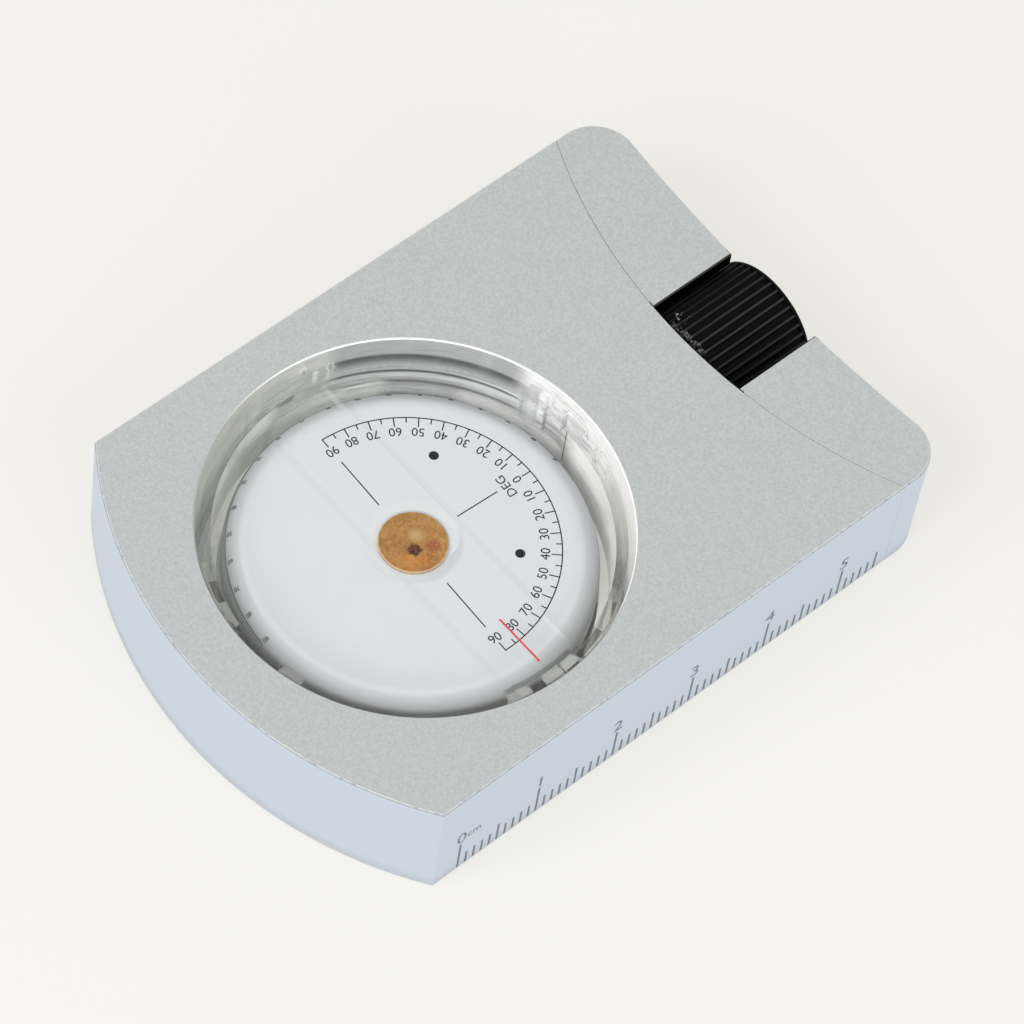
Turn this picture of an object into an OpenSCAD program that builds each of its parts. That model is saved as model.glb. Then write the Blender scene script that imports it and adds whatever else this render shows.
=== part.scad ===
// Pocket sighting clinometer, lying on its back with the dial up.
// X runs from the rounded nose (-X) to the eyepiece (+X), Y across the body
// with the ruled straight edge at -Y, Z up through the dial.
// The origin is the middle of the base. All lengths are in millimetres.

/* [Body] */
// Length from the nose to the rear corners
body_l = 74.3; // [72:0.1:84]
// Width across the two straight edges
body_w = 52.4; // [50:0.2:60]
// Thickness of the body
body_t = 14; // [13.8:0.1:16]
// Radius of the rounded nose
nose_r = 44.6; // [36:0.2:60]
// Radius of the two rear corners
corner_r = 4.5; // [2:0.5:7]
// Radius of the shallow hollow across the rear end
rear_hollow_r = 207; // [150:1:400]
// Depth of the rear hollow, from the rear corners to its middle
rear_hollow = 1.15; // [0.6:0.05:1.6]
// Bevel on the outer edges
edge_bevel = 0.15; // [0.1:0.05:0.4]

/* [Rear blocks] */
// Length of the rear blocks, from the rear corners to the middle of the curved joint
block_l = 11.9; // [11.5:0.1:13]
// Radius of the curved joint between the housing and the rear blocks
joint_r = 61.6; // [50:0.2:80]
// Hairline gap of the curved joint
joint_gap = 0.03; // [0.01:0.01:0.1]
// Bevel along the curved joint
joint_bevel = 0.06; // [0.05:0.01:0.2]
// Radius of the dowels that hold the rear blocks
dowel_r = 1; // [0.75:0.25:1.5]
// Length of each dowel
dowel_l = 9; // [6:0.5:11]
// Distance from the centre line to the inner dowels
dowel_inner_y = 12; // [10.5:0.5:14]
// Distance from the centre line to the outer dowels
dowel_outer_y = 20; // [18:0.5:21]

/* [Eyepiece slot] */
// Width of the slot that shows the focus ring
slot_w = 12.4; // [10:0.2:13]
// How far the slot's middle lies from the centre line, towards the ruled edge
slot_shift = 1.35; // [0:0.05:1.6]
// Clearance round the focus ring under the lip of the slot
ring_clear = 0.55; // [0.4:0.05:0.7]

/* [Dial pocket] */
// Diameter of the round window
pocket_d = 43; // [42:0.1:44]
// Distance from the nose to the middle of the window
pocket_from_nose = 27.3; // [26.5:0.1:29]
// Metal left under the pocket
pocket_floor = 2.4; // [1.6:0.1:3]
// Bevel round the window's rim
pocket_bevel = 0.15; // [0.1:0.05:0.5]

/* [Capsule] */
// Thickness of the rubber ring under the capsule
cushion_t = 0.6; // [0.4:0.1:0.8]
// Width of the rubber ring under the capsule
cushion_w = 3; // [2:0.2:4]
// Gap between the capsule's pads and the pocket wall
pad_gap = 0.1; // [0.05:0.05:0.3]
// How far the four locating pads stand out of the capsule wall
pad_t = 0.5; // [0.3:0.05:0.7]
// Width of the middle rib of each pad
pad_rib_w = 3; // [2:0.2:4]
// Width of the relief on each side of the pad's middle rib
pad_relief_w = 1.7; // [1:0.1:2]
// Depth of the pad's reliefs below the rim
pad_relief_h = 3.2; // [2:0.2:5]
// Thickness of the clear capsule wall
cup_wall = 1.1; // [0.9:0.1:1.5]
// Thickness of the clear capsule floor
cup_floor = 1.2; // [1:0.1:1.4]
// Depth of the capsule rim below the top of the body
capsule_inset = 1.6; // [1.2:0.1:2]
// Thickness of the clear cover
cover_t = 0.8; // [0.6:0.1:1]
// Width of the ledge that carries the cover
ledge_w = 0.4; // [0.3:0.05:0.6]
// Thickness of the seal on the ledge
seal_t = 0.15; // [0.1:0.05:0.2]
// Gap between the cover's edge and the wall round it
cover_gap = 0.03; // [0.02:0.01:0.1]
// Width of the bar moulded across the cover
bar_w = 7.9; // [6:0.1:10]
// Height of the bar above the rim
bar_h = 0.25; // [0.15:0.05:0.4]
// Diameter of the boss under the middle of the cover
boss_d = 10; // [7.5:0.5:12]
// Radius of the filling hole in the capsule floor
fill_r = 1.1; // [0.8:0.1:1.4]
// Distance from the pivot to the filling hole
fill_at = 13; // [10:0.5:15]

/* [Card] */
// Gap between the card's rim and the capsule wall
card_gap = 1.2; // [1:0.05:1.6]
// Gap between the cover and the card's face
card_drop = 1.4; // [1.3:0.1:1.8]
// Height of the card's rim, from its face to its lower edge
card_h = 4.8; // [4.2:0.1:5]
// Thickness of the card's face
card_t = 0.7; // [0.6:0.05:0.9]
// Thickness of the card's rim
rim_t = 0.6; // [0.5:0.05:0.8]
// Radius of the shoulder between face and rim
shoulder_r = 2.6; // [1.2:0.1:3]
// How far the card stands turned about its pivot in the stored pose, in degrees
card_turn = -2.6; // [-20:0.1:20]
// Inner radius of the weight under the card
weight_in_r = 8; // [6:0.5:9]
// Gap between the weight and the start of the card's round shoulder
weight_gap = 0.2; // [0.1:0.1:2]
// Thickness of the weight
weight_t = 1.5; // [1:0.1:1.6]
// Angle that the weight spans, in degrees
weight_span = 110; // [90:5:150]
// Distance from the pivot to the rivets
rivet_at = 10.5; // [10:0.1:12]
// Angle from the zero line to each rivet, in degrees
rivet_angle = 41; // [30:1:44]
// Radius of the rivets
rivet_r = 0.5; // [0.4:0.05:0.7]

/* [Bearing] */
// Diameter of the resin bush in the middle of the card
bush_d = 7; // [6:0.1:8]
// Height of the bush above the card
bush_h = 0.4; // [0.3:0.05:0.8]
// Radius of the bush's stem
stem_r = 2.2; // [1.8:0.1:2.6]
// Length of the bush's stem below the card's face
stem_l = 4.2; // [3.6:0.1:4.3]
// Radius of the pivot pin
pin_r = 0.75; // [0.5:0.05:0.9]
// Running clearance of the pin in the bush
pin_clear = 0.03; // [0.01:0.01:0.08]
// Radius of the end stone
stone_r = 0.6; // [0.4:0.05:0.7]
// Thickness of the end stone
stone_t = 0.4; // [0.3:0.05:0.5]
// Depth from the bush's top to the end stone
stone_depth = 0.8; // [0.6:0.1:1]
// End clearance above and below the card
end_float = 0.3; // [0.15:0.05:0.4]

/* [Marks] */
// Width of the index line on the cover
index_w = 0.3; // [0.2:0.05:0.5]
// Length of the index line
index_l = 5.9; // [4:0.1:7]
// Distance from the pivot to the outer end of the index line
index_out = 18.5; // [16:0.1:19]
// Width of the sighting line on the capsule wall
hair_w = 0.14; // [0.1:0.02:0.3]
// Height of the sighting line
hair_h = 5.2; // [4:0.1:6]
// Depth of the grooves that hold the two lines
line_depth = 0.1; // [0.05:0.01:0.15]
// How far the index line stands out of its groove
line_proud = 0.02; // [0.01:0.01:0.05]

/* [Eyepiece] */
// Diameter over the ribs of the focus ring
ring_d = 13.3; // [12.6:0.1:13.4]
// Length of the focus ring
ring_l = 11.45; // [11:0.05:12]
// How far the focus ring stands out past the rear corners
ring_out = 0.3; // [0:0.1:1]
// Number of grooves round the focus ring
flutes = 40; // [30:2:48]
// Depth of the grooves
flute_depth = 0.35; // [0.2:0.05:0.4]
// Length of the plain rim that closes the grooves at the rear end
ring_rim_l = 0.4; // [0.3:0.05:0.8]
// Bevel on both ends of the focus ring
ring_bevel = 0.15; // [0.05:0.05:0.3]
// Radius of the cutter that forms each groove
flute_r = 0.42; // [0.3:0.02:0.45]
// Running clearance of the sliding fits in the eyepiece
run_clear = 0.05; // [0.02:0.01:0.08]
// Outer radius of the fixed sleeve
sleeve_r = 5.2; // [5:0.05:5.3]
// Wall of the fixed sleeve
sleeve_wall = 0.85; // [0.75:0.05:0.9]
// Length of the sleeve's shank inside the housing
shank_l = 6; // [4:0.5:8]
// Step from the sleeve's outside down to its shank
shank_step = 0.3; // [0.2:0.05:0.5]
// Radius of the flange that the focus ring stops against
flange_r = 5.6; // [5.5:0.05:5.8]
// Thickness of that flange
flange_t = 0.4; // [0.3:0.05:0.4]
// Distance from the joint to the rear end of the sleeve
sleeve_l = 9.1; // [8.5:0.1:9.4]
// Travel of the ring towards the housing
travel_in = 0.3; // [0.1:0.05:0.3]
// Travel of the ring away from the housing
travel_out = 0.9; // [0.5:0.1:1.2]
// Radius of the stop screw that ends the travel
stop_r = 0.4; // [0.3:0.05:0.5]
// Distance from the joint to the stop screw
stop_at = 2.2; // [1.9:0.1:3]
// Depth of the sleeve's groove that the stop screw rides in
stop_groove_d = 0.3; // [0.2:0.05:0.4]
// Gap between the sleeve's end and the ring's inner lip when the ring is fully in
lip_gap = 0.45; // [0.2:0.05:0.6]
// Thickness of the ring's inner lip
lip_t = 0.6; // [0.5:0.05:0.7]
// Width of the step behind the lip that carries the cell's flange
seat_step = 0.45; // [0.3:0.05:0.5]
// Thickness of the clip that keeps the flange on its step
clip_t = 0.5; // [0.4:0.05:0.6]
// Length of the lens cell inside the sleeve
cell_in_l = 7; // [6.6:0.1:7.4]
// Thickness of the lens cell's flange
cell_flange_t = 0.7; // [0.5:0.05:0.8]
// Radius of the bore through the lens cell
cell_bore_r = 3.3; // [3:0.1:3.4]
// Radius of the lens
lens_r = 3.75; // [3.6:0.05:3.8]
// Thickness of the lens at its edge
lens_edge_t = 1.2; // [1:0.1:1.4]
// Radius of the curve of both faces of the lens
lens_face_r = 14; // [10:1:40]
// Width of the flat rim round both faces of the lens
lens_rim_w = 0.7; // [0.66:0.02:0.9]
// Thickness of the screwed ring that holds the lens
lens_ring_t = 0.6; // [0.5:0.05:0.7]
// Radius of the opening in that ring
lens_ring_r = 3.1; // [2.8:0.1:3.2]
// Depth of the lens ring below the cell's rear face
lens_ring_depth = 0.15; // [0.05:0.05:0.2]
// Radius of the key pin
key_r = 0.4; // [0.3:0.05:0.5]
// Distance from the cell's front to the key pin
key_at = 4; // [3.2:0.1:4.4]
// Depth of the keyway into the sleeve's wall
keyway_d = 0.55; // [0.4:0.05:0.6]
// Length of keyway left in front of the key pin when the cell is fully in
keyway_spare = 0.6; // [0.3:0.1:1]
// Radius of the opening in the field stop
stop_open_r = 2.4; // [2:0.1:3]
// Thickness of the field stop
field_stop_t = 0.8; // [0.5:0.1:1.2]
// Distance from the pocket's wall to the field stop
field_stop_at = 0.8; // [0.5:0.1:2]
// Radius of the light bore from the pocket
light_r = 3.9; // [3.5:0.1:4.1]

/* [Hidden] */

$fn = 96;
past = 1;                                   // how far a cutter runs past the metal

// Stations along X
nose_x = -(body_l + ring_out) / 2;
rear_x = nose_x + body_l;
ring_end_x = rear_x + ring_out;
ring_x = ring_end_x - ring_l;
joint_x = rear_x - block_l;
pocket_x = nose_x + pocket_from_nose;
mid_z = body_t / 2;
half_w = body_w / 2;

// Slot and bore of the focus ring
ring_r = ring_d / 2;
slot_plain_y = slot_w / 2 - slot_shift;
slot_ruled_y = -slot_w / 2 - slot_shift;
block_bore_r = ring_r + ring_clear;

// Capsule, from its outside in and from its rubber ring up
pocket_r = pocket_d / 2;
pad_r = pocket_r - pad_gap;
cup_r = pad_r - pad_t;
cup_in_r = cup_r - cup_wall;
ledge_r = cup_in_r + ledge_w;
cup_z = pocket_floor + cushion_t;
cup_floor_z = cup_z + cup_floor;
rim_z = body_t - capsule_inset;
cover_z = rim_z - cover_t;
ledge_z = cover_z - seal_t;
bar_z = rim_z + bar_h;

// Card and bearing, down from the cover
card_r = cup_in_r - card_gap;
card_z = cover_z - card_drop;
card_under_z = card_z - card_t;
bush_top_z = card_z + bush_h;
boss_z = bush_top_z + end_float;
stem_z = card_z - stem_l;
stone_z = bush_top_z - stone_depth - stone_t;
pin_top_z = stone_z - end_float / 3;
pin_tip_h = pin_r * 0.6;
post_r = stem_r + 0.2;
post_z = stem_z - end_float;
pin_foot_z = cup_z + cup_floor / 2;
weight_z = card_under_z - weight_t;
weight_out_r = card_r - shoulder_r - weight_gap;
rivet_head_r = rivet_r * 1.8;
rivet_head_t = rivet_r * 0.6;

// Eyepiece, from the joint to the rear
sleeve_in_r = sleeve_r - sleeve_wall;
shank_r = sleeve_r - shank_step;
sleeve_end_x = joint_x + sleeve_l;
ring_bore_r = sleeve_r + run_clear;
cell_r = sleeve_in_r - run_clear;
lip_x = sleeve_end_x + travel_in + lip_gap;
lip_r = cell_r + 2 * run_clear;
seat_x = lip_x + lip_t;
seat_r = ring_bore_r + seat_step;
cell_flange_r = seat_r - 2 * run_clear;
cell_end_x = seat_x + run_clear + cell_flange_t;
cell_x = sleeve_end_x - cell_in_l;
clip_x = cell_end_x + run_clear;
clip_r = lip_r;
lens_clear_r = lens_r - lens_rim_w;
lens_sag = lens_face_r - sqrt(lens_face_r * lens_face_r - lens_clear_r * lens_clear_r);
lens_ring_x = cell_end_x - lens_ring_depth - lens_ring_t;
lens_x = lens_ring_x - lens_edge_t;
key_x = cell_x + key_at;
keyway_x = key_x - travel_in - key_r - keyway_spare;
keyway_r = sleeve_in_r + keyway_d;
key_tip_r = keyway_r - run_clear;
stop_x = joint_x + stop_at;
stop_in_r = sleeve_r - stop_groove_d + run_clear;
stop_out_r = ring_r - flute_depth - run_clear;
field_stop_x = pocket_x + pocket_r + field_stop_at;
shank_x = joint_x - shank_l;

// Colours
metal = [0.78, 0.80, 0.81];
clear_plastic = [0.86, 0.90, 0.90, 0.35];
amber = [0.72, 0.50, 0.24];
card_white = [0.87, 0.88, 0.90];
black_plastic = [0.07, 0.07, 0.08];

// Puts children on the eyepiece's axis, their Z along the body's X, from station x
module on_axis(x) {
    translate([x, 0, mid_z]) rotate([0, 90, 0]) children();
}

// Puts children at the pivot, at height z
module at_pivot(z = 0) {
    translate([pocket_x, 0, z]) children();
}

// Puts children at the pivot, turned with the card
module with_card(z = 0) {
    at_pivot(z) rotate([0, 0, card_turn]) children();
}

// Copies children to the four pads of the capsule
module each_pad() {
    for (turn = [0:90:270]) rotate([0, 0, turn]) children();
}

// Disc with both edges bevelled
module bevelled_disc(r, h, bevel) {
    rotate_extrude()
        polygon([[0, 0], [r - bevel, 0], [r, bevel], [r, h - bevel], [r - bevel, h], [0, h]]);
}

// Round cutter that widens at both faces of the plate it cuts, to leave bevelled edges
module flared_cutter(r, h, bevel) {
    rotate_extrude()
        polygon([[0, -past], [r + bevel + past, -past], [r, bevel], [r, h - bevel],
                 [r + bevel + past, h + past], [0, h + past]]);
}

// Plate from y0 to y1 with its four long edges bevelled, from x0 to x1
module bevelled_plate(x0, x1, y0, y1, bevel) {
    translate([x0, 0, 0]) rotate([90, 0, 90]) linear_extrude(x1 - x0)
        polygon([[y0 + bevel, 0], [y1 - bevel, 0], [y1, bevel], [y1, body_t - bevel],
                 [y1 - bevel, body_t], [y0 + bevel, body_t], [y0, body_t - bevel], [y0, bevel]]);
}

// Ring between two radii
module ring(r_out, r_in, h) {
    difference() {
        cylinder(r = r_out, h = h);
        translate([0, 0, -past]) cylinder(r = r_in, h = h + 2 * past);
    }
}

// Half section of a drum with a round upper shoulder
module drum_section(r, h, shoulder) {
    square([r - shoulder, h]);
    square([r, h - shoulder]);
    translate([r - shoulder, h - shoulder]) circle(r = shoulder);
}

// X of the curved joint at distance y from the centre line
function joint_at(y) = joint_x + joint_r - sqrt(joint_r * joint_r - y * y);

// Copies children to the four dowels, half in the housing and half in a block
module each_dowel(length) {
    for (y = [-dowel_outer_y, -dowel_inner_y, dowel_inner_y, dowel_outer_y])
        translate([joint_at(y) - length / 2, y, mid_z]) rotate([0, 90, 0]) children();
}

// Aluminium housing: nose, straight edges, dial pocket, light bore and sleeve seat
module housing() {
    color(metal) difference() {
        intersection() {
            bevelled_plate(nose_x - past, rear_x, -half_w, half_w, edge_bevel);
            translate([nose_x + nose_r, 0, 0]) bevelled_disc(nose_r, body_t, edge_bevel);
        }
        translate([joint_x + joint_r, 0, 0]) flared_cutter(joint_r, body_t, joint_bevel);
        at_pivot(pocket_floor) cylinder(r = pocket_r, h = body_t);
        at_pivot(body_t - pocket_bevel)
            cylinder(r1 = pocket_r, r2 = pocket_r + pocket_bevel + past, h = pocket_bevel + past);
        on_axis(pocket_x) cylinder(r = light_r, h = rear_x - pocket_x);
        on_axis(shank_x) cylinder(r = shank_r, h = shank_l + past);
        on_axis(joint_x) cylinder(r = flange_r, h = block_l);
        each_dowel(dowel_l) cylinder(r = dowel_r, h = dowel_l);
    }
}

// Plan of both rear blocks: rounded rear corners, hollow rear end, curved front
module rear_plan() {
    difference() {
        intersection() {
            union() {
                translate([joint_x - past, -half_w, 0])
                    cube([block_l + past - corner_r, body_w, body_t]);
                translate([joint_x - past, corner_r - half_w, 0])
                    cube([block_l + past, body_w - 2 * corner_r, body_t]);
                for (side = [-1, 1]) translate([rear_x - corner_r, side * (half_w - corner_r), 0])
                    bevelled_disc(corner_r, body_t, edge_bevel);
            }
            translate([joint_x + joint_gap + joint_r, 0, 0])
                bevelled_disc(joint_r, body_t, joint_bevel);
        }
        translate([rear_x - rear_hollow + rear_hollow_r, 0, 0])
            flared_cutter(rear_hollow_r, body_t, edge_bevel);
    }
}

// One rear block between two distances from the centre line
module rear_block(y0, y1) {
    color(metal) difference() {
        intersection() {
            rear_plan();
            bevelled_plate(joint_x - past, rear_x + past, y0, y1, edge_bevel);
        }
        on_axis(joint_x) cylinder(r = block_bore_r, h = block_l + past);
        each_dowel(dowel_l) cylinder(r = dowel_r, h = dowel_l);
    }
}

// Rear block on the plain side of the eyepiece
module plain_block() {
    rear_block(slot_plain_y, half_w);
}

// Rear block on the ruled side of the eyepiece
module ruled_block() {
    rear_block(-half_w, slot_ruled_y);
}

// Steel dowels that join the rear blocks to the housing
module block_dowels() {
    color("silver") each_dowel(dowel_l) cylinder(r = dowel_r, h = dowel_l);
}

// Rubber ring that the capsule stands on
module cushion_ring() {
    color([0.8, 0.8, 0.78]) at_pivot(pocket_floor) ring(cup_r, cup_r - cushion_w, cushion_t);
}

// Clear capsule: wall, floor, centre post and four pads that locate it in the pocket
module capsule_cup() {
    color(clear_plastic) at_pivot() difference() {
        union() {
            translate([0, 0, cup_z]) cylinder(r = cup_r, h = rim_z - cup_z);
            each_pad() intersection() {
                translate([0, 0, cup_z]) cylinder(r = pad_r, h = rim_z - cup_z);
                translate([cup_in_r, -bar_w / 2, cup_z])
                    cube([pad_r - cup_in_r, bar_w, rim_z - cup_z]);
            }
        }
        difference() {
            translate([0, 0, cup_floor_z]) cylinder(r = cup_in_r, h = rim_z);
            cylinder(r = post_r, h = post_z);
        }
        translate([0, 0, ledge_z]) cylinder(r = ledge_r, h = rim_z);
        each_pad() for (side = [-1, 1])
            translate([cup_r - cup_wall / 3, side * (pad_rib_w + pad_relief_w) / 2 - pad_relief_w / 2,
                       rim_z - pad_relief_h])
                cube([pad_t + cup_wall, pad_relief_w, pad_relief_h + past]);
        translate([0, 0, pin_foot_z]) cylinder(r = pin_r, h = rim_z);
        rotate([0, 0, 135]) translate([fill_at, 0, 0]) cylinder(r = fill_r, h = rim_z);
        translate([cup_in_r - past, -hair_w / 2, ledge_z - hair_h])
            cube([past + line_depth, hair_w, hair_h]);
    }
}

// Seal between the cover and the capsule's ledge
module cover_seal() {
    color([0.8, 0.8, 0.78]) at_pivot(ledge_z) ring(ledge_r, cup_in_r, seal_t);
}

// Clear cover with the bar moulded across it and the boss under its middle
module capsule_cover() {
    color(clear_plastic) at_pivot() difference() {
        union() {
            translate([0, 0, cover_z]) cylinder(r = ledge_r - cover_gap, h = cover_t);
            translate([0, 0, boss_z]) cylinder(d = boss_d, h = cover_z - boss_z + cover_t);
            intersection() {
                translate([0, 0, rim_z]) cylinder(r = cup_r, h = bar_h);
                translate([-bar_w / 2, -cup_r, rim_z]) cube([bar_w, 2 * cup_r, bar_h]);
            }
        }
        translate([-index_w / 2, -index_out, bar_z - line_depth]) cube([index_w, index_l, bar_h]);
    }
}

// Plug of the filling hole
module fill_plug() {
    color([0.75, 0.74, 0.7]) at_pivot(cup_z) rotate([0, 0, 135]) translate([fill_at, 0, 0])
        cylinder(r = fill_r, h = cup_floor);
}

// Steel pin that the card turns on, fixed in the capsule's post
module pivot_pin() {
    color("silver") at_pivot(pin_foot_z) {
        cylinder(r = pin_r, h = pin_top_z - pin_foot_z - pin_tip_h);
        translate([0, 0, pin_top_z - pin_foot_z - pin_tip_h])
            cylinder(r1 = pin_r, r2 = pin_r / 3, h = pin_tip_h);
    }
}

// Red index line let into the cover's bar
module index_line() {
    color([0.85, 0.2, 0.25]) at_pivot(bar_z - line_depth) translate([-index_w / 2, -index_out, 0])
        cube([index_w, index_l, line_depth + line_proud]);
}

// Dark sighting line let into the capsule wall in front of the eyepiece
module sight_line() {
    color([0.1, 0.1, 0.1]) at_pivot(ledge_z - hair_h) translate([cup_in_r + line_depth / 4, -hair_w / 2, 0])
        cube([line_depth * 3 / 4, hair_w, hair_h]);
}

// Moulded card: flat face, round shoulder and the rim that carries the second scale
module card() {
    color(card_white) with_card(card_z - card_h) difference() {
        rotate_extrude() drum_section(card_r, card_h, shoulder_r);
        translate([0, 0, -past]) rotate_extrude()
            drum_section(card_r - rim_t, card_h - card_t + past, shoulder_r - rim_t);
        cylinder(r = stem_r, h = card_h + past);
        for (side = [-1, 1]) rotate([0, 0, side * rivet_angle]) translate([rivet_at, 0, 0])
            cylinder(r = rivet_r, h = card_h + past);
    }
}

// Resin bush in the middle of the card, bored from below for the pivot pin
module bush() {
    color(amber) with_card() difference() {
        union() {
            translate([0, 0, card_z]) bevelled_top(bush_d / 2, bush_h);
            translate([0, 0, stem_z]) cylinder(r = stem_r, h = stem_l);
        }
        translate([0, 0, stem_z - past]) cylinder(r = pin_r + pin_clear, h = stone_z - stem_z + past);
        translate([0, 0, stone_z]) cylinder(r = stone_r, h = stone_t);
    }
}

// Low disc with its upper edge bevelled
module bevelled_top(r, h) {
    bevel = h / 4;
    cylinder(r = r, h = h - bevel);
    translate([0, 0, h - bevel]) cylinder(r1 = r, r2 = r - bevel, h = bevel);
}

// Jewel that rests on the tip of the pivot pin
module end_stone() {
    color([0.6, 0.1, 0.15]) with_card(stone_z) cylinder(r = stone_r, h = stone_t);
}

// Brass weight under the zero side of the card, which turns that side down
module counterweight() {
    color([0.72, 0.58, 0.3]) with_card(weight_z) difference() {
        rotate([0, 0, -weight_span / 2]) rotate_extrude(angle = weight_span)
            translate([weight_in_r, 0]) square([weight_out_r - weight_in_r, weight_t]);
        for (side = [-1, 1]) rotate([0, 0, side * rivet_angle]) translate([rivet_at, 0, -past])
            cylinder(r = rivet_r, h = weight_t + 2 * past);
    }
}

// Two rivets that hold the weight
module weight_rivets() {
    color(black_plastic) with_card(weight_z)
        for (side = [-1, 1]) rotate([0, 0, side * rivet_angle]) translate([rivet_at, 0, 0]) {
            translate([0, 0, -rivet_head_t]) cylinder(r = rivet_head_r, h = rivet_head_t);
            cylinder(r = rivet_r, h = weight_t + card_t + line_proud);
        }
}

// Ring that limits the field seen through the eyepiece
module field_stop() {
    color(black_plastic) on_axis(field_stop_x) ring(light_r, stop_open_r, field_stop_t);
}

// Fixed sleeve that guides the lens cell inside and the focus ring outside
module sleeve() {
    color([0.6, 0.6, 0.62]) difference() {
        union() {
            on_axis(shank_x) cylinder(r = shank_r, h = shank_l);
            on_axis(joint_x) cylinder(r = flange_r, h = flange_t);
            on_axis(joint_x) cylinder(r = sleeve_r, h = sleeve_l);
        }
        on_axis(shank_x - past) cylinder(r = sleeve_in_r, h = shank_l + sleeve_l + 2 * past);
        on_axis(stop_x - travel_in - stop_r - run_clear)
            ring(sleeve_r + past, sleeve_r - stop_groove_d,
                 travel_in + travel_out + 2 * (stop_r + run_clear));
        translate([keyway_x, -key_r - run_clear, mid_z - keyway_r])
            cube([sleeve_end_x - keyway_x + past, 2 * (key_r + run_clear), keyway_r - cell_bore_r]);
    }
}

// Cell that carries the lens and slides in the sleeve without turning
module lens_cell() {
    color([0.2, 0.2, 0.21]) difference() {
        union() {
            on_axis(cell_x) cylinder(r = cell_r, h = cell_end_x - cell_x);
            on_axis(cell_end_x - cell_flange_t) cylinder(r = cell_flange_r, h = cell_flange_t);
        }
        on_axis(cell_x - past) cylinder(r = cell_bore_r, h = cell_end_x - cell_x + 2 * past);
        on_axis(lens_x) cylinder(r = lens_r, h = cell_end_x - lens_x + past);
        translate([key_x, 0, mid_z - cell_r - past])
            cylinder(r = key_r, h = past + cell_r - cell_bore_r / 2);
    }
}

// Eyepiece lens: both faces domed inside a flat rim
module eye_lens() {
    color([0.8, 0.88, 0.9, 0.4]) on_axis(lens_x) {
        cylinder(r = lens_r, h = lens_edge_t);
        intersection() {
            translate([0, 0, -lens_sag]) cylinder(r = lens_clear_r, h = lens_edge_t + 2 * lens_sag);
            translate([0, 0, lens_face_r - lens_sag]) sphere(r = lens_face_r);
            translate([0, 0, lens_edge_t + lens_sag - lens_face_r]) sphere(r = lens_face_r);
        }
    }
}

// Screwed ring that holds the lens in its cell
module lens_ring() {
    color(black_plastic) on_axis(lens_ring_x) ring(lens_r, lens_ring_r, lens_ring_t);
}

// Pin in the cell that runs in the sleeve's keyway
module key_pin() {
    color("silver") translate([key_x, 0, mid_z - key_tip_r])
        cylinder(r = key_r, h = key_tip_r - cell_bore_r - key_r / 2);
}

// Cutters of the grooves round the focus ring, with a rib at the very top
module ring_grooves() {
    for (i = [0:flutes - 1]) rotate((i + 0.5) * 360 / flutes)
        translate([ring_r + flute_r - flute_depth, 0]) circle(r = flute_r, $fn = 24);
}

// Ribbed ring turned by the thumb to focus
module focus_ring() {
    color(black_plastic) difference() {
        on_axis(ring_x) bevelled_disc(ring_r, ring_l, ring_bevel);
        on_axis(ring_x - past) linear_extrude(past + ring_l - ring_rim_l) ring_grooves();
        on_axis(ring_x - past) cylinder(r = ring_bore_r, h = lip_x - ring_x + past);
        on_axis(ring_x) cylinder(r = lip_r, h = ring_l);
        on_axis(seat_x) cylinder(r = seat_r, h = ring_l);
        translate([stop_x, 0, mid_z - ring_r - past]) cylinder(r = stop_r, h = ring_r + past - sleeve_r);
    }
}

// Ring that keeps the cell's flange in the focus ring
module ring_clip() {
    color(black_plastic) on_axis(clip_x) ring(seat_r, clip_r, clip_t);
}

// Screw whose tip rides in the sleeve's groove and ends the travel
module stop_screw() {
    color("silver") translate([stop_x, 0, mid_z - stop_out_r])
        cylinder(r = stop_r, h = stop_out_r - stop_in_r);
}

housing();
plain_block();
ruled_block();
block_dowels();
cushion_ring();
capsule_cup();
cover_seal();
capsule_cover();
fill_plug();
pivot_pin();
index_line();
sight_line();
card();
bush();
end_stone();
counterweight();
weight_rivets();
field_stop();
sleeve();
lens_cell();
eye_lens();
lens_ring();
key_pin();
focus_ring();
ring_clip();
stop_screw();
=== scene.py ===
"""Dresses a pocket sighting clinometer: metal, clear capsule, printed scales, eyepiece and stage.

Sizes in the property groups and in the tables of marks are in millimetres. All other lengths are
in metres, in the frame of the solids.
"""

import math

import bmesh
import bpy
from mathutils import Matrix, Vector


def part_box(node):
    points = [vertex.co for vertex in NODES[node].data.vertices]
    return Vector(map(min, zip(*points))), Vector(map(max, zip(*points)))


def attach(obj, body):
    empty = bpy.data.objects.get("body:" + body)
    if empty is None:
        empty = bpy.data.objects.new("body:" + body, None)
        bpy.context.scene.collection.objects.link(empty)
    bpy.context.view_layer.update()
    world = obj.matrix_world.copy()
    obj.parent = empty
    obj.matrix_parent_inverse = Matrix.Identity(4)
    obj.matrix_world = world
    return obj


bl_info = {
    "name": "Clinometer finish",
    "version": (1, 0, 0),
    "blender": (4, 5, 0),
    "location": "3D View > Sidebar > Clinometer",
    "description": "Finishes a pocket clinometer with materials, printed scales and a stage",
    "category": "Object",
}

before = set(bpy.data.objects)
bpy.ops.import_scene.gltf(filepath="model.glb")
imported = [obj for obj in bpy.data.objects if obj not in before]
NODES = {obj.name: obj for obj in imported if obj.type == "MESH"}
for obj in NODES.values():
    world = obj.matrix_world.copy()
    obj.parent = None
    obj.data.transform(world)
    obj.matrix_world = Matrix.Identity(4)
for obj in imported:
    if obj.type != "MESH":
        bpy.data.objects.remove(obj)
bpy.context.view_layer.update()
MM = 0.001
WHITE = (1.0, 1.0, 1.0, 1.0)
# The painted light that TRACE is held against includes a grey-brown band on the capsule, which is
# painted reflection.
TRACE = 0.03  # least share of painted light or stain that counts
WELD = 1e-7  # points closer than this are one point
DIGIT_SHARE = 0.729  # height of a digit in the default font, as a share of its size

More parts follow.
